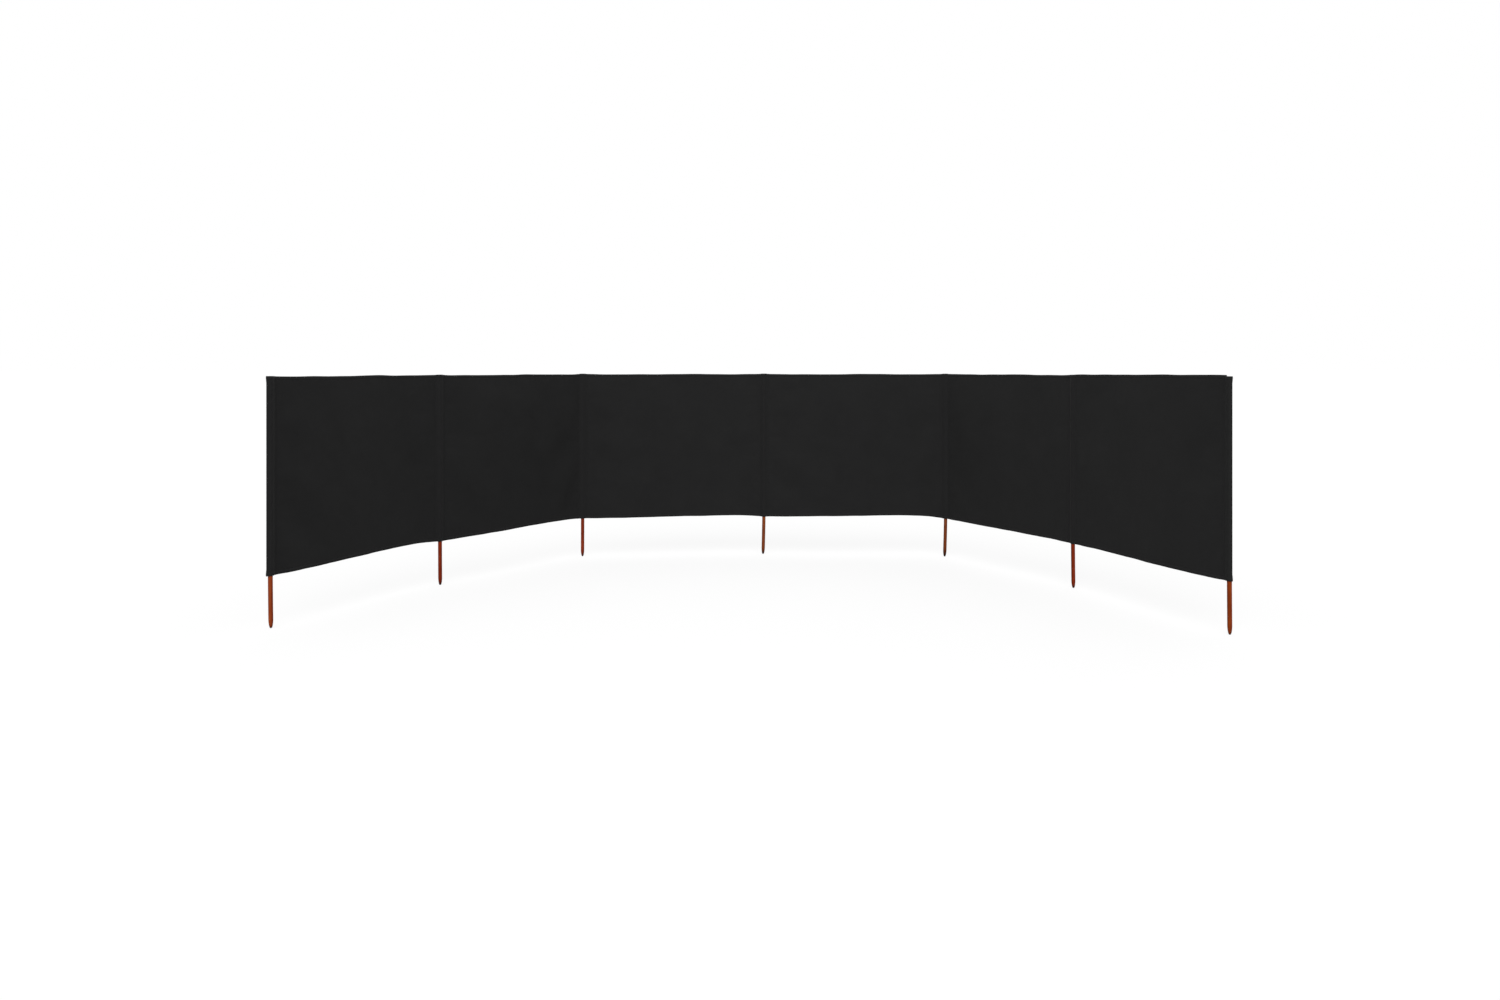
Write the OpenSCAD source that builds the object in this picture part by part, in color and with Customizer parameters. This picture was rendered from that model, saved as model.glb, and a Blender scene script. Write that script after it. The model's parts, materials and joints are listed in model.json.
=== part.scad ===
// Beach windbreak: one long screen of cloth on pointed wooden poles.
// Each pole stands in a closed pocket sewn into the cloth, and the screen folds at the poles.
// Frame: +X along the back of the screen, +Y away from the sheltered side, +Z up.
// The origin is at the tip of the middle pole. Lengths are in millimetres.

/* [Layout] */
// Distance between neighbouring poles, centre to centre
bay_w = 1308; // [600:1:2000]
// Angle of the left outer bay, in degrees from +X towards +Y
bay_1_angle = 64.5; // [20:0.5:85]
// Angle of the left inner bay
bay_2_angle = 56; // [20:0.5:85]
// Angle of the back bay left of the middle pole
bay_3_angle = 4.5; // [-10:0.5:20]
// Angle of the back bay right of the middle pole
bay_4_angle = -5; // [-20:0.5:10]
// Angle of the right inner bay
bay_5_angle = -63.5; // [-85:0.5:-20]
// Angle of the right outer bay
bay_6_angle = -70; // [-85:0.5:-20]

/* [Poles] */
// Length of a pole, from its tip to its upper end
pole_len = 1311; // [900:1:2200]
// Diameter of a pole
pole_d = 24; // [16:0.5:40]
// Length of the sharpened point
point_len = 45; // [20:1:120]
// Diameter of the flat at the tip
tip_d = 8; // [3:0.5:10]
// Height of the worn round above the tip
tip_round = 8; // [2:0.5:15]
// Bevel round the upper end
top_bevel = 2; // [0.5:0.5:5]

/* [Cloth] */
// Height of the cloth
cloth_h = 1040; // [600:1:1100]
// Thickness of the cloth, also in the walls of the pockets
cloth_t = 1.2; // [0.6:0.1:2.5]
// Height of the folded hems along the upper and lower edges
hem_h = 24; // [12:1:50]
// Thickness of a folded hem
hem_t = 2.4; // [1.4:0.1:5]
// Depth of the slack bow near the right end of a bay
bow_depth = 42; // [0:1:60]
// Depth of the small counter bow near the left end of a bay
ripple_depth = 10; // [0:1:20]

/* [Fit] */
// Clearance between a pole, its pocket and the cloth that turns round it
seat_gap = 0.3; // [0.1:0.05:0.6]

/* [Hidden] */
// Angles of the bays, from left to right
bay_angles = [bay_1_angle, bay_2_angle, bay_3_angle, bay_4_angle, bay_5_angle, bay_6_angle];
bay_count = len(bay_angles);
pole_count = bay_count + 1;
// The middle pole, which carries the origin
middle = bay_count / 2;
// How much of the bow and of the counter bow each bay has, from left to right
bow_shares = [1, 0.6, 1, 1, 0.15, -0.75];
ripple_shares = [1, 1, 1, 1, 0, 0];
// A higher lean pushes the bow further along the bay
bow_lean = 3;
bow_steps = 28;

pole_r = pole_d / 2;
pocket_bore = pole_r + seat_gap;
pocket_r = pocket_bore + cloth_t;
cloth_top = pole_len + seat_gap + cloth_t;
cloth_bottom = cloth_top - cloth_h;
// Radius of the worn round, on the way from the tip to the full pole
tip_round_share = 0.45;
tip_round_r = tip_d / 2 + (pole_r - tip_d / 2) * tip_round_share;
overrun = 5;
curve_fn = 96;

wood_colour = [0.53, 0.23, 0.11];
cloth_colour = [0.14, 0.14, 0.14];

// Step along a bay, from its left pole to its right one
function bay_step(i) = bay_w * [cos(bay_angles[i]), sin(bay_angles[i])];

// Sum of the steps from bay i up to, but not including, bay j
function span(i, j) = i >= j ? [0, 0] : bay_step(i) + span(i + 1, j);

// Place of a pole, counted from 0 at the left
function pole_place(i) = i < middle ? -span(i, middle) : span(middle, i);

// A bulge that is 0 at both ends and 1 at its peak, nearer the far end for a higher lean
function swell(t, lean) = pow(t, lean) * (1 - t) * pow(lean + 1, lean + 1) / pow(lean, lean);

// How far the cloth of a bay stands off the straight line between its poles
function bow(i, t) = bow_depth * bow_shares[i] * swell(t, bow_lean)
    - ripple_depth * ripple_shares[i] * swell(1 - t, bow_lean);

// One face of the cloth of a bay, seen from above
function face(i, offset) = [
    for (k = [0 : bow_steps]) [bay_w * k / bow_steps, bow(i, k / bow_steps) + offset]
];

function reversed(points) = [for (k = [len(points) - 1 : -1 : 0]) points[k]];

// A turned pole with a blunt point and a bevelled upper end
module pole(i) {
    color(wood_colour)
    translate(pole_place(i))
    rotate_extrude($fn = curve_fn)
    polygon([
        [0, 0],
        [tip_d / 2, 0],
        [tip_round_r, tip_round],
        [pole_r, point_len],
        [pole_r, pole_len - top_bevel],
        [pole_r - top_bevel, pole_len],
        [0, pole_len]
    ]);
}

// The cloth tube round a pole, closed over its upper end
module pole_pocket(i) {
    color(cloth_colour)
    translate(concat(pole_place(i), cloth_bottom))
    difference() {
        cylinder(r = pocket_r, h = cloth_h, $fn = curve_fn);
        translate([0, 0, -overrun])
        cylinder(r = pocket_bore, h = cloth_h - cloth_t + overrun, $fn = curve_fn);
    }
}

// A curved band of cloth between the centres of two poles
module band(i, thickness, height) {
    linear_extrude(height)
    polygon(concat(face(i, -thickness / 2), reversed(face(i, thickness / 2))));
}

// The cloth of one bay with its two hems, cut back round the pockets that it turns about
module cloth_bay(i) {
    color(cloth_colour)
    translate(concat(pole_place(i), cloth_bottom))
    rotate(bay_angles[i])
    difference() {
        union() {
            band(i, cloth_t, cloth_h);
            band(i, hem_t, hem_h);
            translate([0, 0, cloth_h - hem_h])
            band(i, hem_t, hem_h);
        }
        for (x = [0, bay_w])
            translate([x, 0, -overrun])
            cylinder(r = pocket_r + seat_gap, h = cloth_h + 2 * overrun, $fn = curve_fn);
    }
}

for (i = [1 : pole_count]) {
    pole(i - 1);
    pole_pocket(i - 1);
}
for (i = [1 : bay_count]) {
    cloth_bay(i - 1);
}
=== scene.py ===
"""Looks of a beach windbreak: black cloth in six bays on seven pointed wooden poles.

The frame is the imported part's: metres, +X along the back of the screen, +Y away from the
sheltered side, +Z up, and the origin at the tip of the middle pole.
"""
import json
import math

import bmesh
import bpy
import numpy as np
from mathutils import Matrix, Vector

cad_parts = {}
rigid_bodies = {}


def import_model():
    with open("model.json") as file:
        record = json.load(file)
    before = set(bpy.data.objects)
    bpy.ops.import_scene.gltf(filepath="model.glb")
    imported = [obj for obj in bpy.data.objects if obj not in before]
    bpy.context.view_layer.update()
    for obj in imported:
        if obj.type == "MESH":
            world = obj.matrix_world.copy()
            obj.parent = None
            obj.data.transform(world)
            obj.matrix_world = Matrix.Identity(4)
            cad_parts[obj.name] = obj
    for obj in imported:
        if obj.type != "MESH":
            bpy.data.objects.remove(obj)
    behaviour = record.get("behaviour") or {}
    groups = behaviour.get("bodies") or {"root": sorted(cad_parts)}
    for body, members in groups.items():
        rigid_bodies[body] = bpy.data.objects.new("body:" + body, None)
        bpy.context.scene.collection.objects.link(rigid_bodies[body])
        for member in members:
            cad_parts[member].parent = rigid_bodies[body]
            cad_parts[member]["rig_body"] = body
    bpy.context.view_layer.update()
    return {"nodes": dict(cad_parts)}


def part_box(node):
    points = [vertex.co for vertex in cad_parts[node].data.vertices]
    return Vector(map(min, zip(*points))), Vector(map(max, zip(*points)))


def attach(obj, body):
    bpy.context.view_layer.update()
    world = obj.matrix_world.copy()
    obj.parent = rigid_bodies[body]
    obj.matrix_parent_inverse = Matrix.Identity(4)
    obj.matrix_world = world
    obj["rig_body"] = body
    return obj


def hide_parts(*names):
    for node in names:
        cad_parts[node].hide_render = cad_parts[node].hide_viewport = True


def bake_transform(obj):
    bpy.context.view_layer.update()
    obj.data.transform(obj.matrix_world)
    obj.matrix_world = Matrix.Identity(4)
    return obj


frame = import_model()


def half_width(node):
    """Half of a CAD node's extent along X."""
    low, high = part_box(node)
    return (high.x - low.x) / 2


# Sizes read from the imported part
BAY_COUNT = sum(name.startswith("cloth_bay_") for name in frame["nodes"])
POLE_COUNT = BAY_COUNT + 1
CLOTH_LOW, CLOTH_HIGH = (corner.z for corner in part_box("cloth_bay_1"))
CLOTH_H = CLOTH_HIGH - CLOTH_LOW
POLE_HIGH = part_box("pole_1")[1].z
POLE_R = half_width("pole_1")
POCKET_R = half_width("pole_pocket_1")

# Photograph that the camera stands in for, in its own pixels, and the camera's place
PHOTO_W = 1500
PHOTO_H = 1000
FOCAL_PX = 1143
HORIZON_PX = 367.3
SENSOR_MM = 36
CAMERA_PLACE = (-0.101, -8.319, 1.358)
CAMERA_FAR = 1000

# Cloth of the bays: its thickness, its folded hems, and the groove that their stitching draws in
CLOTH_T = 0.0009
HEM_H = 0.024
HEM_FOLD_T = 0.0013
HEM_STITCH = 0.0195
HEM_STEP = 0.0004
HEM_TURN_IN = 0.010
HEM_PUFF = 0.0010
GROOVE_DEPTH = 0.0005
GROOVE_W = 0.003

# Mesh of the cloth, whose ends lie inside the pockets
SHEET_INSET = 0.016
SHEET_COLUMNS = 168
SHEET_ROWS = 96
HEM_ROW_SHARES = (0.12, 0.24, 0.37, 0.50, 0.63)
RIM_STEPS = 4

# How far each bay's lower edge rides up, and where that peaks
LOWER_LIFTS = (0.007, 0.004, 0.006, 0.015, 0.001, 0.001)
LIFT_PEAK_SHARE = 0.86
# How far each bay's upper edge sags between the poles and climbs to the right, and its hump
TOP_SAGS = (0.003, 0.0045, 0.0045, 0.0045, 0.003, -0.003)
TOP_SAG_POWER = 12
TOP_CLIMBS = (0, 0, 0, 0, 0, 0.006)
TOP_CLIMB_POWER = 3
TOP_HUMP = 0.0025
TOP_HUMP_SHARE = 0.6
TOP_HUMP_SPREAD_SHARE = 0.1
# Small waves of both edges, and the distance from a pole at which they are in full
EDGE_WAVE = 0.0006
EDGE_WAVES = (0.19, 0.28, 0.43, 0.61)
EDGE_WAVE_FULL = 0.078

# Slack of the cloth, set loose in a short simulation of each bay
FOLD_COLUMNS = 45
FOLD_ROWS = 37
FOLD_FRAMES = 30
FOLD_SLACK_SHARES = (0.005, 0.0045, 0.005, 0.0055, 0.004, 0.0045)
FOLD_WEIGHT_SHARE = 0.08
FOLD_NUDGE = 0.0008
FOLD_SETTINGS = {
    "quality": 8,
    "tension_stiffness": 80,
    "compression_stiffness": 80,
    "shear_stiffness": 40,
    "bending_stiffness": 6,
    "tension_damping": 10,
    "compression_damping": 10,
    "shear_damping": 10,
    "bending_damping": 2,
    "air_damping": 3,
}
# How deep each bay's folds show, the deepest that one may be, and where they fade in beside a pole
FOLD_SPREADS = (0.0045, 0.0045, 0.0045, 0.0045, 0.0035, 0.0035)
FOLD_CAP = 0.014
FOLD_FADE_START = 0.030
FOLD_FADE_END = 0.120

# Puckers that the stitching draws into the cloth
PUCKER_WAVES = (0.047, 0.067, 0.091, 0.137)
SEAM_PUCKER = 0.0010
SEAM_PUCKER_REACH = 0.045
HEM_PUCKER = 0.0006
HEM_PUCKER_REACH = 0.045

# Pockets sewn round the poles: the stitched edge's distance from the pole, and the strip beyond it
POCKET_REACH = 0.026
POCKET_WALL = 0.0009
STRIP_W = 0.009
STRIP_T = 0.0007
STRIP_EDGE = 0.0004
# The outer side of an end pole has no strip: its reach, and how far its rounded edge narrows
FLARE_REACHES = {1: 0.0240, POLE_COUNT: 0.0165}
FLARE_EDGE_SHARE = 0.7
# Mesh of a pocket's walls, and their wrinkles
POCKET_ARC_STEPS = 10
POCKET_WALL_STEPS = 7
POCKET_WRINKLE = 0.0008
POCKET_WAVES = (0.057, 0.083, 0.131, 0.229)
POCKET_SWIRL = 0.02
# The closed upper end: a rounded corner, then rings that shut over the pole
CAP_CORNER = 0.0024
CAP_CORNER_SHARE = 0.16
CAP_CORNER_STEPS = 5
CAP_SHUT_SHARES = (0.3, 0.55, 0.8, 0.985)
CAP_WALL = 0.0010
# The lining, squeezed to a slit where the walls are stitched together
LINING_ROWS = 6
SLIT_HALF = 0.00005
SLIT_SQUEEZE_SHARE = 0.02
# An arc round a pole that would turn further than this is a short one the other way
LONGEST_ARC = math.radians(300)

# Stitching
STITCH_L = 0.0033
STITCH_PITCH = 0.0043
STITCH_W = 0.0009
STITCH_T = 0.0007
STITCH_CORNERS = 6
STITCH_END_GAP = 0.004
STRIP_STITCH_SHARES = (0.22, 0.72)

# Poles: the point's length and roundness, the mesh, and how uneven a pole is
POINT_LEN = 0.045
POINT_ROUND_POWER = 1.5
POINT_ROUND_ROOT = 0.344
POLE_BEVEL = 0.002
POLE_SIDES = 48
POINT_RINGS = 30
SHAFT_RINGS = 56
POLE_UNEVEN_SHARE = 0.008
POLE_LOBES = (2, 3, 5)
POLE_TWIST = 9
# How far each pole's tip stands to the right of its axis, and how the crook grows towards it
TIP_DRIFTS = (0.003, 0.0015, -0.001, -0.006, -0.007, 0.003, 0.002)
POLE_CROOK_POWER = 1.3

# Stain of the poles: its tones from the darkest grain to the palest, and each pole's own tint
WOOD_TONES = (
    (0.34, (0.117, 0.014, 0.003)),
    (0.47, (0.255, 0.034, 0.007)),
    (0.58, (0.298, 0.045, 0.009)),
    (0.68, (0.368, 0.073, 0.016)),
)
POLE_TINTS = (
    (1.10, 1.30, 1.50),
    (0.97, 0.75, 0.75),
    (0.92, 0.80, 1.00),
    (1.05, 1.80, 2.40),
    (0.87, 1.50, 2.00),
    (1.00, 0.85, 0.90),
    (1.10, 1.35, 1.00),
)
# Soil on the points: how far up it reaches on each pole, and how it fades out above
SOIL_REACHES = (0.012, 0.018, 0.022, 0.026, 0.040, 0.018, 0.009)
SOIL_WANDER = 0.008
SOIL_FADE = 3
SOIL_TONES = (
    (0.12, (0.10, 0.16, 0.30)),
    (0.30, (0.36, 0.42, 0.60)),
    (0.52, (0.80, 0.80, 0.85)),
    (1.00, (1.0, 1.0, 1.0)),
)

# Edges sharper than this are shaded as creases
SHARP_ANGLE = math.radians(40)


# Plan directions and smooth curves
def pole_place(number):
    """A pole's axis in plan."""
    low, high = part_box(f"pole_{number}")
    return np.array((low + high) / 2)[:2]


def unit(vectors):
    """Vectors brought to length 1."""
    return vectors / np.linalg.norm(vectors, axis=-1, keepdims=True)


def left_of(direction):
    """The plan direction a quarter turn to the left."""
    return np.stack([-direction[..., 1], direction[..., 0]], axis=-1)


def smooth_step(x, start, end):
    """0 before start, 1 after end, and smooth between them."""
    t = np.clip((x - start) / (end - start), 0, 1)
    return t * t * (3 - 2 * t)


def tent(t, peak):
    """Straight up from 0 at t = 0 to about 1 at the peak and down to 0 at t = 1, with a soft ridge."""
    sharpness = 4
    tiny = 1e-9
    rise = np.maximum(t / peak, tiny)
    fall = np.maximum((1 - t) / (1 - peak), tiny)
    return (rise ** -sharpness + fall ** -sharpness) ** (-1 / sharpness)


def ripple(x, waves, phases):
    """An uneven wave between about -1 and 1, summed from several wavelengths."""
    turns = [np.sin(2 * math.pi * x / wave + phase) for wave, phase in zip(waves, phases)]
    return sum(turns) / math.sqrt(len(waves))


def spline_weights(x, count):
    """Weights of a cubic spline over count evenly spaced values, at places x from 0 to 1."""
    distance = np.abs(np.clip(x, 0, 1)[:, None] * (count - 1) - np.arange(count))
    near = 2 / 3 - distance ** 2 + distance ** 3 / 2
    far = np.maximum(2 - distance, 0) ** 3 / 6
    weights = np.where(distance < 1, near, far)
    return weights / weights.sum(axis=1, keepdims=True)


# Shape of the cloth
class Bay:
    """The cloth between two poles. u runs from the left pole's axis to the right one's."""

    def __init__(self, number):
        self.number = number
        self.node = f"cloth_bay_{number}"
        self.body = frame["nodes"][self.node]["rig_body"]
        self.left = pole_place(number)
        chord = pole_place(number + 1) - self.left
        self.length = np.linalg.norm(chord)
        self.along = chord / self.length
        self.back = left_of(self.along)
        self.bow = self.fitted_bow()
        self.slope = np.polyder(self.bow)
        self.folds = np.zeros((FOLD_COLUMNS, FOLD_ROWS))
        # Waves of the left and right seam, of the low and high hem, and of the low and high edge
        phases = np.random.default_rng(number).uniform(0, 2 * math.pi, (3, 2, len(PUCKER_WAVES)))
        self.seam_phases, self.hem_phases, self.edge_phases = phases

    def fitted_bow(self):
        """The bow of the CAD cloth in plan, as a polynomial of u through both poles."""
        degree = 4
        pole_weight = 1000
        corners = np.array([v.co[:2] for v in frame["nodes"][self.node].data.vertices])
        u = (corners - self.left) @ self.along
        depth = (corners - self.left) @ self.back
        inner = (u > POCKET_REACH) & (u < self.length - POCKET_REACH)
        u = np.concatenate([u[inner], [0, self.length]])
        depth = np.concatenate([depth[inner], [0, 0]])
        weights = np.ones(len(u))
        weights[-2:] = pole_weight
        return np.polyfit(u, depth, degree, w=weights)

    def pole_distance(self, u):
        """Distance of a place on the cloth from the nearer pole's axis."""
        return np.minimum(u, self.length - u)

    def puckers(self, u, z):
        """Short waves beside the pocket seams and the hems, which stay flat themselves."""
        seam = self.pole_distance(u) - POCKET_REACH - STRIP_W
        left, right = (ripple(z, PUCKER_WAVES, phases) for phases in self.seam_phases)
        side = np.where(u < self.length / 2, left, right)
        beside = np.maximum(seam, 0) / SEAM_PUCKER_REACH
        made = SEAM_PUCKER * side * beside * np.exp(1 - 2 * beside)
        for edge, phases in zip((CLOTH_LOW, CLOTH_HIGH), self.hem_phases):
            away = np.abs(z - edge) / HEM_PUCKER_REACH
            made = made + HEM_PUCKER * ripple(u, PUCKER_WAVES, phases) * np.exp(-away)
        return made * smooth_step(seam, 0, SEAM_PUCKER_REACH / 2)

    def depth(self, u, z):
        """How far the cloth stands behind the straight line between the poles."""
        across = spline_weights(u / self.length, FOLD_COLUMNS)
        up = spline_weights((z - CLOTH_LOW) / CLOTH_H, FOLD_ROWS)
        folds = np.sum((across @ self.folds) * up, axis=1)
        return np.polyval(self.bow, u) + folds + self.puckers(u, z)

    def lift(self, u, z):
        """How far the cloth rides up along its lower edge and sags along its upper one."""
        t = u / self.length
        height = np.clip((z - CLOTH_LOW) / CLOTH_H, 0, 1)
        free = EDGE_WAVE * smooth_step(self.pole_distance(u), POCKET_REACH, EDGE_WAVE_FULL)
        low_wave, high_wave = (free * ripple(u, EDGE_WAVES, phases) for phases in self.edge_phases)
        low = LOWER_LIFTS[self.number - 1] * tent(t, LIFT_PEAK_SHARE) + low_wave
        hump = TOP_HUMP * np.exp(-((t - TOP_HUMP_SHARE) / TOP_HUMP_SPREAD_SHARE) ** 2)
        sag = TOP_SAGS[self.number - 1] * (1 - (2 * t - 1) ** TOP_SAG_POWER)
        climb = TOP_CLIMBS[self.number - 1] * t ** TOP_CLIMB_POWER
        high = hump - sag + climb + high_wave
        return low * (1 - height) ** 2 + high * height ** 2

    def plan(self, u, depth, out):
        """Plan points at u, depth behind the line of the poles and out behind the cloth itself."""
        slope = np.polyval(self.slope, u)
        steep = np.hypot(1, slope)
        along = u - out * slope / steep
        back = depth + out / steep
        return self.left + np.outer(along, self.along) + np.outer(back, self.back)

    def points(self, u, z, out):
        """Points on the cloth, out behind its middle surface."""
        return np.column_stack([self.plan(u, self.depth(u, z), out), z + self.lift(u, z)])


bays = [Bay(number) for number in range(1, BAY_COUNT + 1)]


# Slack folds of the cloth
def slack_net(bay):
    """A coarse net of one bay's cloth, held along both poles and a little too large for them."""
    u = np.linspace(0, bay.length, FOLD_COLUMNS)
    z = np.linspace(0, CLOTH_H, FOLD_ROWS)
    nudge = np.random.default_rng(bay.number).normal(0, FOLD_NUDGE, (FOLD_COLUMNS, FOLD_ROWS))
    nudge[[0, -1]] = 0
    depth = np.polyval(bay.bow, u)[:, None] + nudge
    across, up = np.meshgrid(u, z, indexing="ij")
    grid = np.stack([across, depth, up], axis=-1)
    corner = np.arange(FOLD_COLUMNS * FOLD_ROWS).reshape(FOLD_COLUMNS, FOLD_ROWS)
    quads = np.stack([corner[:-1, :-1], corner[1:, :-1], corner[1:, 1:], corner[:-1, 1:]], axis=-1)
    mesh = bpy.data.meshes.new("slack_net")
    mesh.from_pydata(grid.reshape(-1, 3).tolist(), [], quads.reshape(-1, 4).tolist())
    net = bpy.data.objects.new("slack_net", mesh)
    bpy.context.scene.collection.objects.link(net)
    net.vertex_groups.new(name="held").add(corner[[0, -1]].ravel().tolist(), 1.0, "REPLACE")
    cloth = net.modifiers.new("cloth", "CLOTH")
    for name, value in FOLD_SETTINGS.items():
        setattr(cloth.settings, name, value)
    cloth.settings.vertex_group_mass = "held"
    cloth.settings.shrink_min = -FOLD_SLACK_SHARES[bay.number - 1]
    cloth.settings.effector_weights.gravity = FOLD_WEIGHT_SHARE
    cloth.collision_settings.use_collision = False
    cloth.point_cache.frame_end = FOLD_FRAMES
    return net


def simulate_folds():
    """Lets all bays go slack at once and keeps how far each place on them swings out."""
    scene = bpy.context.scene
    nets = [slack_net(bay) for bay in bays]
    for step in range(1, FOLD_FRAMES + 1):
        scene.frame_set(step)
    depsgraph = bpy.context.evaluated_depsgraph_get()
    for bay, net in zip(bays, nets):
        swung = np.array([v.co.y for v in net.evaluated_get(depsgraph).data.vertices])
        start = np.polyval(bay.bow, np.linspace(0, bay.length, FOLD_COLUMNS))
        bay.folds = swung.reshape(FOLD_COLUMNS, FOLD_ROWS) - start[:, None]
    for net in nets:
        mesh = net.data
        bpy.data.objects.remove(net)
        bpy.data.meshes.remove(mesh)
    scene.frame_set(1)


def settle_folds(bay):
    """Brings a bay's folds to the depth that the cloth shows and lets them die out at the poles."""
    folds = bay.folds * FOLD_SPREADS[bay.number - 1] / bay.folds.std()
    folds = FOLD_CAP * np.tanh(folds / FOLD_CAP)
    u = np.linspace(0, bay.length, FOLD_COLUMNS)
    fade = smooth_step(bay.pole_distance(u), FOLD_FADE_START, FOLD_FADE_END)
    bay.folds = folds * fade[:, None]


simulate_folds()
for bay in bays:
    settle_folds(bay)


# Meshes
def tube_faces(rings, count, first=0):
    """Quads of a tube of rings with count points each, closed round each ring."""
    ring, step = np.meshgrid(np.arange(rings - 1), np.arange(count), indexing="ij")
    a = first + ring * count + step
    b = first + ring * count + (step + 1) % count
    return np.stack([a, b, b + count, a + count], axis=-1).reshape(-1, 4).tolist()


def zip_faces(count, first=0):
    """Faces across a flat ring whose point j lies opposite point count - j."""
    half = count // 2
    ends = [(first, first + 1, first + count - 1), (first + half - 1, first + half, first + half + 1)]
    quads = [(first + j, first + j + 1, first + count - j - 1, first + count - j)
             for j in range(1, half - 1)]
    return ends + quads


def new_piece(name, points, faces, material, uv=None):
    """A smooth-shaded mesh piece with crisp edges where it is cut or folded."""
    mesh = bpy.data.meshes.new(name)
    mesh.from_pydata(np.asarray(points).tolist(), [], faces)
    if uv is not None:
        corners = np.zeros(len(mesh.loops), dtype=np.int32)
        mesh.loops.foreach_get("vertex_index", corners)
        layer = mesh.uv_layers.new(name="UVMap")
        layer.data.foreach_set("uv", uv[corners].astype(np.float32).ravel())
    made = bmesh.new()
    made.from_mesh(mesh)
    bmesh.ops.recalc_face_normals(made, faces=made.faces)
    made.to_mesh(mesh)
    made.free()
    mesh.polygons.foreach_set("use_smooth", [True] * len(mesh.polygons))
    mesh.set_sharp_from_angle(angle=SHARP_ANGLE)
    mesh.materials.append(material)
    piece = bpy.data.objects.new(name, mesh)
    bpy.context.scene.collection.objects.link(piece)
    return piece


# Nodes of materials
def node_material(name):
    """A new material with its node tree and its shader."""
    material = bpy.data.materials.new(name)
    material.use_nodes = True
    tree = material.node_tree
    return material, tree, tree.nodes["Principled BSDF"]


def add_node(tree, kind, **values):
    """A new node with some of its own settings and of its input values set."""
    node = tree.nodes.new(kind)
    for key, value in values.items():
        if key in node.inputs:
            node.inputs[key].default_value = value
        else:
            setattr(node, key, value)
    return node


def add_math(tree, operation, *values):
    """A math node's result on values, each a socket or a number."""
    node = add_node(tree, "ShaderNodeMath", operation=operation)
    for socket, value in zip(node.inputs, values):
        if isinstance(value, bpy.types.NodeSocket):
            tree.links.new(value, socket)
        else:
            socket.default_value = value
    return node.outputs[0]


def add_blend(tree, first, second, share):
    """Two values mixed: a share of the first and the rest of the second."""
    return add_math(tree, "ADD", add_math(tree, "MULTIPLY", first, share),
                    add_math(tree, "MULTIPLY", second, 1 - share))


def add_split(tree, vector):
    """The three parts of a vector."""
    split = add_node(tree, "ShaderNodeSeparateXYZ")
    tree.links.new(vector, split.inputs["Vector"])
    return split.outputs


def add_noise(tree, place, **values):
    """The value of a noise texture at a place."""
    noise = add_node(tree, "ShaderNodeTexNoise", **values)
    tree.links.new(place, noise.inputs["Vector"])
    return noise.outputs["Fac"]


def add_ramp(tree, factor, stops):
    """A colour ramp on a factor, from (place, colour) stops."""
    ramp = add_node(tree, "ShaderNodeValToRGB")
    elements = ramp.color_ramp.elements
    while len(elements) < len(stops):
        elements.new(0)
    for element, (place, colour) in zip(elements, stops):
        element.position = place
        element.color = (*colour, 1)
    tree.links.new(factor, ramp.inputs["Fac"])
    return ramp.outputs["Color"]


def add_tint(tree, colour, tint):
    """A colour multiplied by another one."""
    mix = add_node(tree, "ShaderNodeMix", data_type="RGBA", blend_type="MULTIPLY", Factor=1)
    tree.links.new(colour, mix.inputs["A"])
    tree.links.new(tint, mix.inputs["B"])
    return mix.outputs["Result"]


def add_bump(tree, shader, height, strength, depth):
    """Fine relief on a shader's surface."""
    bump = add_node(tree, "ShaderNodeBump", Strength=strength, Distance=depth)
    tree.links.new(height, bump.inputs["Height"])
    tree.links.new(bump.outputs["Normal"], shader.inputs["Normal"])


# Cloth and thread
def cloth_material():
    """Black woven cloth: a plain weave, uneven threads and soft wear in its tone."""
    thread_pitch = 0.0011
    weave_depth = 0.0002
    slub_share = 0.45
    tones = [(0.30, (0.0118, 0.0118, 0.0120)), (0.70, (0.0174, 0.0174, 0.0176))]
    least_rough = 0.72
    rough_span = 0.2
    material, tree, shader = node_material("cloth_black")
    place = add_node(tree, "ShaderNodeUVMap", uv_map="UVMap").outputs["UV"]
    across, up, _ = add_split(tree, place)
    turns = [add_math(tree, "MULTIPLY", way, 2 * math.pi / thread_pitch) for way in (across, up)]
    weave = add_math(tree, "MULTIPLY", *[add_math(tree, "SINE", turn) for turn in turns])
    slub = add_noise(tree, place, Scale=420, Detail=2, Roughness=0.6)
    wear = add_noise(tree, place, Scale=5, Detail=5, Roughness=0.55)
    colour = add_ramp(tree, add_blend(tree, slub, wear, slub_share), tones)
    tree.links.new(colour, shader.inputs["Base Color"])
    rough = add_math(tree, "MULTIPLY_ADD", wear, rough_span, least_rough)
    tree.links.new(rough, shader.inputs["Roughness"])
    add_bump(tree, shader, add_math(tree, "ADD", weave, slub), strength=0.35, depth=weave_depth)
    shader.inputs["Specular IOR Level"].default_value = 0.08
    shader.inputs["Sheen Weight"].default_value = 0.017
    shader.inputs["Sheen Roughness"].default_value = 0.8
    return material


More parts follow.
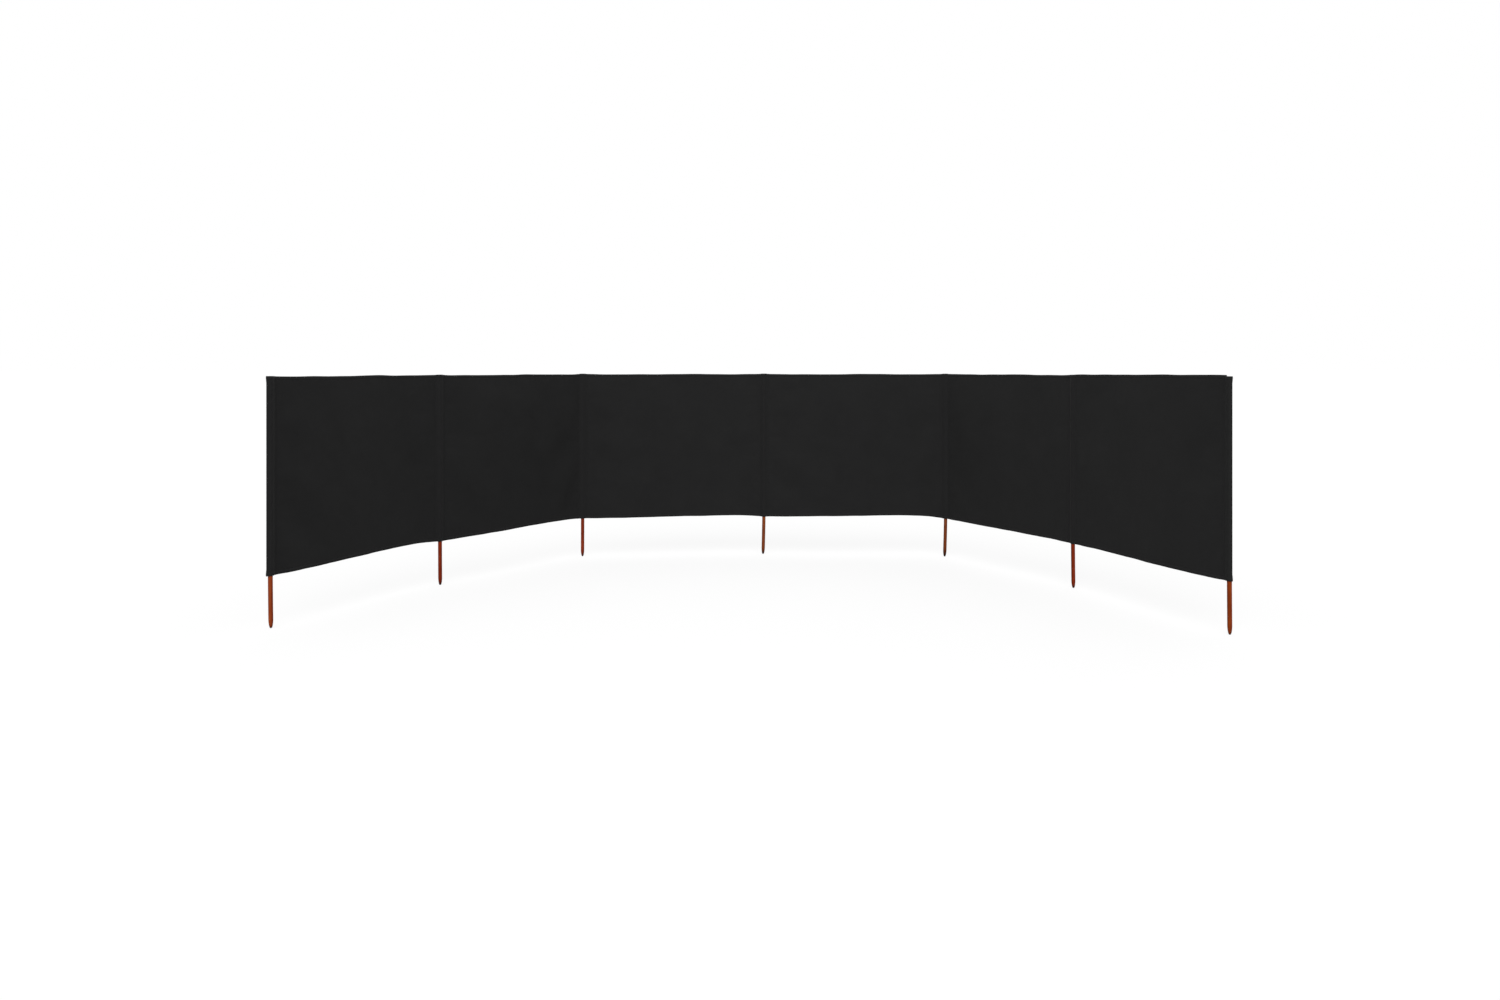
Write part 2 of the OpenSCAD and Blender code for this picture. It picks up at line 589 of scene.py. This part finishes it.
def thread_material():
    """Black sewing thread, a little glossier than the cloth, with a twist."""
    twist_depth = 0.0001
    tones = [(0.3, (0.006, 0.006, 0.006)), (0.7, (0.013, 0.013, 0.013))]
    material, tree, shader = node_material("thread_black")
    place = add_node(tree, "ShaderNodeTexCoord").outputs["Object"]
    twist = add_noise(tree, place, Scale=1500, Detail=1)
    tree.links.new(add_ramp(tree, twist, tones), shader.inputs["Base Color"])
    add_bump(tree, shader, twist, strength=0.3, depth=twist_depth)
    shader.inputs["Roughness"].default_value = 0.55
    shader.inputs["Specular IOR Level"].default_value = 0.2
    return material


CLOTH = cloth_material()
THREAD = thread_material()


# Wood
def soil_tone(tree, place, stain, number):
    """How soil darkens a pole's point, up to an uneven line."""
    _, _, height = add_split(tree, place)
    wander = add_math(tree, "MULTIPLY_ADD", stain, SOIL_WANDER, height)
    share = add_math(tree, "DIVIDE", wander, SOIL_FADE * SOIL_REACHES[number - 1])
    return add_ramp(tree, share, SOIL_TONES)


def wood_material(number):
    """Stained softwood: long grain streaks, uneven stain, and a point darkened by use."""
    lengthwise_share = 0.045
    streak_share = 0.45
    grain_depth = 0.0004
    stain_tones = [(0.30, (0.72, 0.64, 0.62)), (0.65, (1, 1, 1))]
    least_rough = 0.50
    rough_span = 0.3
    material, tree, shader = node_material(f"pole_wood_{number}")
    place = add_node(tree, "ShaderNodeTexCoord").outputs["Object"]
    stretch = add_node(tree, "ShaderNodeMapping", Scale=(1, 1, lengthwise_share))
    tree.links.new(place, stretch.inputs["Vector"])
    stretched = stretch.outputs["Vector"]
    streaks = add_noise(tree, stretched, Scale=260, Detail=4, Roughness=0.6, Distortion=0.6)
    broad = add_noise(tree, stretched, Scale=75, Detail=2, Distortion=0.8)
    stain = add_noise(tree, place, Scale=9, Detail=3)
    grain = add_blend(tree, streaks, broad, streak_share)
    tint = np.array(POLE_TINTS[number - 1])
    colour = add_ramp(tree, grain, [(share, tint * tone) for share, tone in WOOD_TONES])
    colour = add_tint(tree, colour, add_ramp(tree, stain, stain_tones))
    colour = add_tint(tree, colour, soil_tone(tree, place, stain, number))
    tree.links.new(colour, shader.inputs["Base Color"])
    rough = add_math(tree, "MULTIPLY_ADD", streaks, rough_span, least_rough)
    tree.links.new(rough, shader.inputs["Roughness"])
    add_bump(tree, shader, grain, strength=0.5, depth=grain_depth)
    shader.inputs["Specular IOR Level"].default_value = 0.08
    return material


# Poles
def pole_profile():
    """Heights and radii up a pole, from its blunt nose to its bevelled upper end."""
    rise = np.linspace(0, 1, POINT_RINGS) ** 2
    point = POLE_R * (1 - (1 - rise) ** POINT_ROUND_POWER) ** POINT_ROUND_ROOT
    shaft = np.linspace(POINT_LEN, POLE_HIGH - POLE_BEVEL, SHAFT_RINGS)[1:]
    heights = np.concatenate([rise[1:] * POINT_LEN, shaft, [POLE_HIGH]])
    radii = np.concatenate([point[1:], np.full(len(shaft), POLE_R), [POLE_R - POLE_BEVEL]])
    return heights, radii


def make_pole(number):
    """A turned pole, a little uneven and slightly crooked where it stands free below the cloth."""
    rng = np.random.default_rng(number)
    heights, radii = pole_profile()
    turns = np.arange(POLE_SIDES) * 2 * math.pi / POLE_SIDES
    free = 1 - smooth_step(heights, CLOTH_LOW / 2, CLOTH_LOW)
    phases = rng.uniform(0, 2 * math.pi, len(POLE_LOBES))
    twists = rng.uniform(-POLE_TWIST, POLE_TWIST, len(POLE_LOBES))
    lobes = sum(np.cos(lobe * turns + phase + heights[:, None] * twist)
                for lobe, phase, twist in zip(POLE_LOBES, phases, twists)) / len(POLE_LOBES)
    radius = radii[:, None] * (1 - POLE_UNEVEN_SHARE * free[:, None] * (1 + lobes) / 2)
    x, y = pole_place(number)
    drift = TIP_DRIFTS[number - 1] * np.maximum(1 - heights / CLOTH_LOW, 0) ** POLE_CROOK_POWER
    rings = np.stack([
        x + drift[:, None] + radius * np.cos(turns),
        y + radius * np.sin(turns),
        np.repeat(heights[:, None], POLE_SIDES, axis=1),
    ], axis=-1).reshape(-1, 3)
    points = np.vstack([rings, [x + TIP_DRIFTS[number - 1], y, 0]])
    last = len(rings)
    faces = tube_faces(len(heights), POLE_SIDES)
    faces += [(last, k, (k + 1) % POLE_SIDES) for k in range(POLE_SIDES)]
    faces.append(list(range(last - POLE_SIDES, last)))
    piece = new_piece(f"stained_pole_{number}", points, faces, wood_material(number))
    node = f"pole_{number}"
    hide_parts(node)
    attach(piece, frame["nodes"][node]["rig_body"])


for number in range(1, POLE_COUNT + 1):
    make_pole(number)


# Sheets of cloth
def edge_distance(height):
    """Distance of a height on the cloth from the nearer edge."""
    return np.minimum(height, CLOTH_H - height)


def relief(height):
    """How far a hem puffs out between its edge and its stitching, which is drawn in."""
    distance = edge_distance(height)
    share = np.clip(distance / HEM_STITCH, 0, 1)
    puff = 4 * HEM_PUFF * share * (1 - share)
    groove = GROOVE_DEPTH * np.maximum(1 - np.abs(distance - HEM_STITCH) * 2 / GROOVE_W, 0)
    return puff - groove


def hem_fold(height):
    """Thickness that the folded hem adds at a height."""
    return np.where(edge_distance(height) < HEM_H + HEM_STEP / 2, HEM_FOLD_T, 0)


def front_out(height):
    """Place of the cloth's front face, behind its middle surface."""
    return -CLOTH_T / 2 - relief(height)


def back_out(height):
    """Place of the cloth's back face, behind its middle surface."""
    return CLOTH_T / 2 + hem_fold(height) + relief(height)


RIM_R = (CLOTH_T + HEM_FOLD_T) / 2


def row_heights():
    """Heights of the cloth's rows, close together in the hems."""
    puffed = [share * HEM_H for share in HEM_ROW_SHARES]
    groove = [HEM_STITCH - GROOVE_W / 2, HEM_STITCH, HEM_STITCH + GROOVE_W / 2]
    hem = np.array([RIM_R, *puffed, *groove, HEM_H, HEM_H + HEM_STEP])
    body = np.linspace(HEM_H + HEM_TURN_IN, CLOTH_H - HEM_H - HEM_TURN_IN, SHEET_ROWS)
    return np.concatenate([hem, body, CLOTH_H - hem[::-1]])


def sheet_section(rows):
    """Heights and offsets round the cloth: up the front, over the upper edge, down the back."""
    turn = np.linspace(0, math.pi, RIM_STEPS + 2)[1:-1]
    rim_out = HEM_FOLD_T / 2 - RIM_R * np.cos(turn)
    rim_rise = RIM_R * np.sin(turn)
    front = np.column_stack([rows, front_out(rows)])
    back = np.column_stack([rows, back_out(rows)])[::-1]
    top = np.column_stack([CLOTH_H - RIM_R + rim_rise, rim_out])
    bottom = np.column_stack([RIM_R - rim_rise, rim_out])[::-1]
    return np.vstack([front, top, back, bottom])


def sheet_cap(rows):
    """Faces that close one end of a sheet."""
    last = 2 * rows + RIM_STEPS - 1
    quads = [(j, j + 1, last - j - 1, last - j) for j in range(rows - 1)]
    top = list(range(rows - 1, rows + RIM_STEPS + 1))
    bottom = [*range(last, last + RIM_STEPS + 1), 0]
    return quads + [top, bottom]


def make_sheet(bay):
    """The cloth of one bay, with its hems, folds and puckers."""
    rows = row_heights()
    section = sheet_section(rows)
    columns = np.linspace(SHEET_INSET, bay.length - SHEET_INSET, SHEET_COLUMNS + 1)
    u = np.repeat(columns, len(section))
    height, out = np.tile(section, (len(columns), 1)).T
    points = bay.points(u, CLOTH_LOW + height, out)
    cap = sheet_cap(len(rows))
    far = SHEET_COLUMNS * len(section)
    faces = tube_faces(len(columns), len(section)) + cap + [[far + j for j in face] for face in cap]
    piece = new_piece(f"cloth_sheet_{bay.number}", points, faces, CLOTH, np.column_stack([u, height]))
    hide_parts(bay.node)
    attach(piece, bay.body)
    return piece


# Rings of the pockets
def bay_tail(bay, side):
    """Plan points q out from a pole along a bay's cloth, and out to the left of that way."""
    def at(q, out):
        u = q if side > 0 else bay.length - q
        return bay.plan(u, np.polyval(bay.bow, u), side * out)
    return at


def flare_tail(number, inner):
    """Plan points q out from an end pole, straight on from the cloth on its inner side."""
    place = pole_place(number)
    way = -unit(inner(np.array([POCKET_R]), np.zeros(1))[0] - place)

    def at(q, out):
        return place + np.outer(q, way) + np.outer(out, left_of(way))
    return at


def lens_side(reach, edge, radius):
    """Distances and half widths of a pocket's wall, from its stitched edge in to the pole."""
    touch = math.acos(radius / math.hypot(reach, edge)) + math.atan2(edge, reach)
    share = np.linspace(0, 1, POCKET_WALL_STEPS)
    q = reach + (radius * math.cos(touch) - reach) * share
    wide = edge + (radius * math.sin(touch) - edge) * share
    return q, wide


def tail_side(reach, has_strip):
    """Distances, half widths and looseness of one side of a pocket, from its outer end inward."""
    edge = CLOTH_T / 2 + STRIP_T
    if has_strip:
        end = reach + STRIP_W
        outer_q = [end, end, end - STRIP_EDGE / 2, reach + STRIP_W / 2]
        outer_wide = [0, CLOTH_T / 2, edge, edge]
    else:
        end = reach + STRIP_EDGE
        outer_q = [end, end - STRIP_EDGE / 4]
        outer_wide = [0, edge * FLARE_EDGE_SHARE]
    q, wide = lens_side(reach, edge, POCKET_R)
    loose = smooth_step(reach - q, 0, reach / 2)
    return np.append(outer_q, q), np.append(outer_wide, wide), np.append(np.zeros(len(outer_q)), loose)


def lining_side(reach, q):
    """The same side of the pocket's lining, one wall further in, squeezed to a slit at the edge."""
    inner_reach = reach - POCKET_WALL
    inner_q, inner_wide = lens_side(inner_reach, SLIT_HALF, POCKET_R - POCKET_WALL)
    extra = len(q) - len(inner_q)
    slit_q = inner_reach + (q[:extra] - inner_reach) * SLIT_SQUEEZE_SHARE
    slit_wide = np.where(np.arange(extra) > 0, SLIT_HALF, 0)
    return np.append(slit_q, inner_q), np.append(slit_wide, inner_wide)


def arc_between(place, start, end):
    """Points on a pocket's round between two of its points, turning to the left."""
    radius = np.linalg.norm(start - place)
    first = math.atan2(*(start - place)[::-1])
    turn = (math.atan2(*(end - place)[::-1]) - first) % (2 * math.pi)
    if turn > LONGEST_ARC:
        turn -= 2 * math.pi
    angles = first + turn * np.linspace(0, 1, POCKET_ARC_STEPS + 2)[1:-1]
    return place + radius * np.column_stack([np.cos(angles), np.sin(angles)])


def pocket_ring(place, tails, sides):
    """A closed ring in plan round a pole: in along one tail, round the pole, out along the other."""
    (right, left), ((q_r, wide_r), (q_l, wide_l)) = tails, sides
    right_in = right(q_r, wide_r)
    left_out = left(q_l, -wide_l)[::-1]
    left_in = left(q_l, wide_l)[1:]
    right_out = right(q_r, -wide_r)[::-1][:-1]
    back_arc = arc_between(place, right_in[-1], left_out[0])
    front_arc = arc_between(place, left_in[-1], right_out[0])
    return np.vstack([right_in, back_arc, left_out, left_in, front_arc, right_out])


def ring_spine(tails, reached):
    """The line that a pocket's two walls close on: for each point of the ring its place there."""
    right, left = (tail(q, np.zeros(len(q))) for tail, q in zip(tails, reached))
    arc = np.linspace(0, 1, POCKET_ARC_STEPS + 2)[1:-1, None]
    over = right[-1] + (left[-1] - right[-1]) * arc
    return np.vstack([right, over, left[::-1], left[1:], over[::-1], right[::-1][:-1]])


def ring_values(side_values, arc_value):
    """Values that go with the points of a pocket's ring."""
    right, left = side_values
    arc = np.full(POCKET_ARC_STEPS, arc_value)
    return np.concatenate([right, arc, left[::-1], left[1:], arc, right[::-1][:-1]])


# Pockets
def hem_cover(height):
    """How far a strip rises to cross the folded hem behind the cloth."""
    return HEM_FOLD_T * (1 - smooth_step(edge_distance(height), HEM_H, HEM_H + HEM_TURN_IN))


def cap_rows():
    """Heights over a pocket's upper end with how far it has closed at each: 0 for open, 1 for shut."""
    turn = np.linspace(0, math.pi / 2, CAP_CORNER_STEPS + 1)
    corner_heights = CLOTH_H - CAP_CORNER * (1 - np.sin(turn))
    corner_shares = CAP_CORNER_SHARE * (1 - np.cos(turn))
    flat_heights = np.full(len(CAP_SHUT_SHARES), CLOTH_H)
    return np.append(corner_heights, flat_heights), np.append(corner_shares, CAP_SHUT_SHARES)


class Pocket:
    """The cloth sewn round one pole, with its stitched strips, closed at the top."""

    def __init__(self, number):
        self.number = number
        self.place = pole_place(number)
        self.right_bay = bays[number - 1] if number < POLE_COUNT else None
        self.left_bay = bays[number - 2] if number > 1 else None
        right = bay_tail(self.right_bay, 1) if self.right_bay else None
        left = bay_tail(self.left_bay, -1) if self.left_bay else None
        self.tails = (right or flare_tail(number, left), left or flare_tail(number, right))
        flare = FLARE_REACHES.get(number)
        reaches = (POCKET_REACH if right else flare, POCKET_REACH if left else flare)
        sides = [tail_side(reach, bool(tail)) for reach, tail in zip(reaches, (right, left))]
        self.reached = [q for q, _, _ in sides]
        linings = [lining_side(reach, q) for reach, q in zip(reaches, self.reached)]
        self.ring = pocket_ring(self.place, self.tails, [(q, wide) for q, wide, _ in sides])
        self.lining = pocket_ring(self.place, self.tails, linings)
        self.spine = ring_spine(self.tails, self.reached)
        self.loose = ring_values([loose for _, _, loose in sides], 1)
        self.turn_back = sum(len(q) for q in self.reached) + POCKET_ARC_STEPS
        self.behind = (1 - self.loose) * (np.arange(len(self.ring)) < self.turn_back)
        self.outward = -left_of(unit(np.roll(self.ring, -1, axis=0) - np.roll(self.ring, 1, axis=0)))
        self.angle = np.arctan2(*(self.ring - self.place).T[::-1])
        phases = np.random.default_rng(number).uniform(0, 2 * math.pi, (2, len(POCKET_WAVES)))
        self.swirl_phase = phases[0, 0]
        self.wave_phases = phases[1]

    def outline(self, height):
        """The pocket's outside in plan at a height."""
        swirled = height + POCKET_SWIRL * np.sin(self.angle + self.swirl_phase)
        swell = np.maximum(1 + ripple(swirled, POCKET_WAVES, self.wave_phases), 0) / 2
        wrinkle = POCKET_WRINKLE * self.loose * swell
        out = wrinkle + self.behind * hem_cover(height) + relief(height)
        return self.ring + self.outward * out[:, None]

    def level(self, height):
        """Heights round the pocket, whose stitched edges ride up and sag with the cloth beside them."""
        z = CLOTH_LOW + height
        right, left = self.reached
        lifts = [np.zeros(len(right)), np.zeros(len(left))]
        if self.right_bay:
            lifts[0] = self.right_bay.lift(right, z)
        if self.left_bay:
            lifts[1] = self.left_bay.lift(self.left_bay.length - left, z)
        return z + (1 - self.loose) * ring_values(lifts, 0)

    def closing(self, ring, height, shut):
        """A ring drawn in towards the spine, at a height."""
        plan = self.spine + (ring - self.spine) * (1 - shut)
        return np.column_stack([plan, self.level(height)])

    def points(self):
        """Points up the outside and then up the lining, ring by ring, and how many rings each has."""
        wall = row_heights()
        wall = np.append(0, wall[wall < CLOTH_H - CAP_CORNER])
        lining = np.linspace(0, CLOTH_H - CAP_CORNER - CAP_WALL, LINING_ROWS)
        cap = list(zip(*cap_rows()))
        rim = self.outline(CLOTH_H - CAP_CORNER)
        outside = [(self.outline(height), height, 0) for height in wall]
        outside += [(rim, height, shut) for height, shut in cap]
        inside = [(self.lining, height, 0) for height in lining]
        inside += [(self.lining, height - CAP_WALL, shut) for height, shut in cap[1:]]
        return np.vstack([self.closing(*row) for row in outside + inside]), len(outside), len(inside)

    def follow(self, piece):
        """Lets a piece ride with the end pole's pocket body, or else bakes its placement into its mesh.
        """
        if not (self.left_bay and self.right_bay):
            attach(piece, frame["nodes"][f"pole_pocket_{self.number}"]["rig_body"])
            return
        right, left = (tail(np.array([POCKET_REACH]), np.zeros(1))[0] for tail in self.tails)
        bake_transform(piece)


def make_pocket(pocket):
    """The mesh of a pocket, outside and lining in one."""
    points, outer_rings, inner_rings = pocket.points()
    count = len(pocket.ring)
    inside = outer_rings * count
    faces = tube_faces(outer_rings, count) + zip_faces(count, inside - count)
    faces += tube_faces(inner_rings, count, inside) + zip_faces(count, len(points) - count)
    faces += [(j, (j + 1) % count, inside + (j + 1) % count, inside + j) for j in range(count)]
    steps = np.linalg.norm(np.diff(pocket.ring, axis=0), axis=1)
    travel = np.append(0, np.cumsum(steps))
    uv = np.column_stack([np.tile(travel, outer_rings + inner_rings), points[:, 2] - CLOTH_LOW])
    piece = new_piece(f"sewn_pocket_{pocket.number}", points, faces, CLOTH, uv)
    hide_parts(f"pole_pocket_{pocket.number}")
    pocket.follow(piece)
    return piece


# Stitching
def stitch_points(middles, along, out):
    """The corner points of each stitch: its two ends, two sides and two faces."""
    along = unit(along)
    side = unit(np.cross(along, out))
    out = np.cross(side, along)
    reach = np.stack([along * STITCH_L, -along * STITCH_L, side * STITCH_W, -side * STITCH_W,
                      out * STITCH_T, -out * STITCH_T], axis=1) / 2
    return (middles[:, None, :] + reach).reshape(-1, 3)


def stitch_faces(count):
    """Faces of count stitches, eight triangles each."""
    one = np.array([(end, side, face) for end in (0, 1) for side in (2, 3) for face in (4, 5)])
    return (one[None] + STITCH_CORNERS * np.arange(count)[:, None, None]).reshape(-1, 3).tolist()


def stitch_row(bay, u, z, out, way):
    """Stitches at places on a bay's cloth, along u or up z."""
    step = STITCH_L / 2
    du, dz = (step, 0) if way == "u" else (0, step)
    along = bay.points(u + du, z + dz, out) - bay.points(u - du, z - dz, out)
    outward = np.sign(out)[:, None] * (bay.points(u, z, out + step) - bay.points(u, z, out - step))
    return stitch_points(bay.points(u, z, out), along, outward)


def hem_stitches(bay):
    """Stitch rows along both hems, on both faces."""
    start = POCKET_REACH + STRIP_W + STITCH_END_GAP
    u = np.arange(start, bay.length - start, STITCH_PITCH)
    for height in (HEM_STITCH, CLOTH_H - HEM_STITCH):
        z = np.full(len(u), CLOTH_LOW + height)
        for face in (front_out, back_out):
            yield stitch_row(bay, u, z, np.full(len(u), face(height)), "u")


def strip_stitches(bay):
    """Two stitch rows down each pocket strip at the bay's ends, on both faces."""
    height = np.arange(STITCH_END_GAP, CLOTH_H - STITCH_END_GAP, STITCH_PITCH)
    strip = CLOTH_T / 2 + STRIP_T + relief(height)
    for share in STRIP_STITCH_SHARES:
        q = POCKET_REACH + STRIP_W * share
        for u in (q, bay.length - q):
            for out in (-strip, strip + hem_cover(height)):
                yield stitch_row(bay, np.full(len(height), u), CLOTH_LOW + height, out, "z")


def ring_stitches(pocket):
    """Stitch rows round a pocket, level with the hems of the cloth beside it."""
    for height in (HEM_STITCH, CLOTH_H - HEM_STITCH):
        ring = np.column_stack([pocket.outline(height), pocket.level(height)])
        for path in (ring[:pocket.turn_back], np.vstack([ring[pocket.turn_back - 1:], ring[:1]])):
            travel = np.append(0, np.cumsum(np.linalg.norm(np.diff(path, axis=0), axis=1)))
            places = np.arange(STITCH_PITCH, travel[-1] - STITCH_PITCH / 2, STITCH_PITCH)
            before, here, after = (
                np.column_stack([np.interp(places + shift, travel, axis) for axis in path.T])
                for shift in (-STITCH_L / 2, 0, STITCH_L / 2))
            along = after - before
            outward = np.column_stack([-left_of(along[:, :2]), np.zeros(len(places))])
            yield stitch_points(here, along, outward)


def make_stitching(name, rows):
    """Rows of stitches as one piece."""
    points = np.vstack(list(rows))
    piece = new_piece(name, points, stitch_faces(len(points) // STITCH_CORNERS), THREAD)
    return piece


# All cloth
for bay in bays:
    sheet = make_sheet(bay)
    stitching = make_stitching(f"bay_stitching_{bay.number}", [*hem_stitches(bay), *strip_stitches(bay)])
    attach(stitching, bay.body)
for number in range(1, POLE_COUNT + 1):
    pocket = Pocket(number)
    piece = make_pocket(pocket)
    stitching = make_stitching(f"pocket_stitching_{number}", ring_stitches(pocket))
    pocket.follow(stitching)


# Light, floor and camera
def seen_directly(tree):
    """1 where the camera, a reflection or a clear surface looks straight at it, or else 0."""
    path = add_node(tree, "ShaderNodeLightPath")
    either = add_math(tree, "MAXIMUM", path.outputs["Is Camera Ray"], path.outputs["Is Glossy Ray"])
    return add_math(tree, "MAXIMUM", either, path.outputs["Is Transmission Ray"])


def make_world():
    """White for what looks at it, and a plain soft light for everything else."""
    ambient = 0.75
    world = bpy.data.worlds.new("studio")
    bpy.context.scene.world = world
    world.use_nodes = True
    tree = world.node_tree
    background = tree.nodes["Background"]
    background.inputs["Color"].default_value = (1, 1, 1, 1)
    strength = add_node(tree, "ShaderNodeMapRange")
    strength.inputs["To Min"].default_value = ambient
    strength.inputs["To Max"].default_value = 1
    tree.links.new(seen_directly(tree), strength.inputs["Value"])
    tree.links.new(strength.outputs["Result"], background.inputs["Strength"])


def make_lamp(name, strength, spread, heading):
    """A broad soft light from far away that travels along a heading."""
    light = bpy.data.lights.new(name, "SUN")
    light.energy = strength
    light.angle = spread
    lamp = bpy.data.objects.new(name, light)
    lamp.rotation_euler = Vector(heading).to_track_quat("-Z", "Y").to_euler()
    bpy.context.scene.collection.objects.link(lamp)


def make_floor():
    """A wide white floor that keeps a soft shadow of the screen."""
    half = 400
    shadow_share = 0.14
    glow = 0.83
    corners = [(-half, -half, 0), (half, -half, 0), (half, half, 0), (-half, half, 0)]
    mesh = bpy.data.meshes.new("floor")
    mesh.from_pydata(corners, [], [list(range(len(corners)))])
    floor = bpy.data.objects.new("floor", mesh)
    bpy.context.scene.collection.objects.link(floor)
    material, tree, shader = node_material("floor_white")
    tree.nodes.remove(shader)
    plain = add_node(tree, "ShaderNodeBsdfDiffuse", Color=(shadow_share, shadow_share, shadow_share, 1))
    shine = add_node(tree, "ShaderNodeEmission")
    tree.links.new(add_math(tree, "MULTIPLY", seen_directly(tree), glow), shine.inputs["Strength"])
    both = add_node(tree, "ShaderNodeAddShader")
    tree.links.new(plain.outputs[0], both.inputs[0])
    tree.links.new(shine.outputs[0], both.inputs[1])
    tree.links.new(both.outputs[0], tree.nodes["Material Output"].inputs["Surface"])
    mesh.materials.append(material)


def make_camera():
    """A level camera at the photograph's viewpoint."""
    data = bpy.data.cameras.new("camera")
    data.sensor_width = SENSOR_MM
    data.lens = FOCAL_PX / PHOTO_W * SENSOR_MM
    data.shift_y = (HORIZON_PX - PHOTO_H / 2) / PHOTO_W
    data.clip_end = CAMERA_FAR
    camera = bpy.data.objects.new("camera", data)
    camera.location = CAMERA_PLACE
    camera.rotation_euler = (math.pi / 2, 0, 0)
    bpy.context.scene.collection.objects.link(camera)
    bpy.context.scene.camera = camera


make_world()
make_lamp("key", strength=1.8, spread=math.radians(45), heading=(0.07, 0.70, -0.70))
make_lamp("fill", strength=0.8, spread=math.radians(60), heading=(-0.25, -0.72, -0.65))
make_floor()
make_camera()
bpy.context.scene.view_settings.view_transform = "Standard"
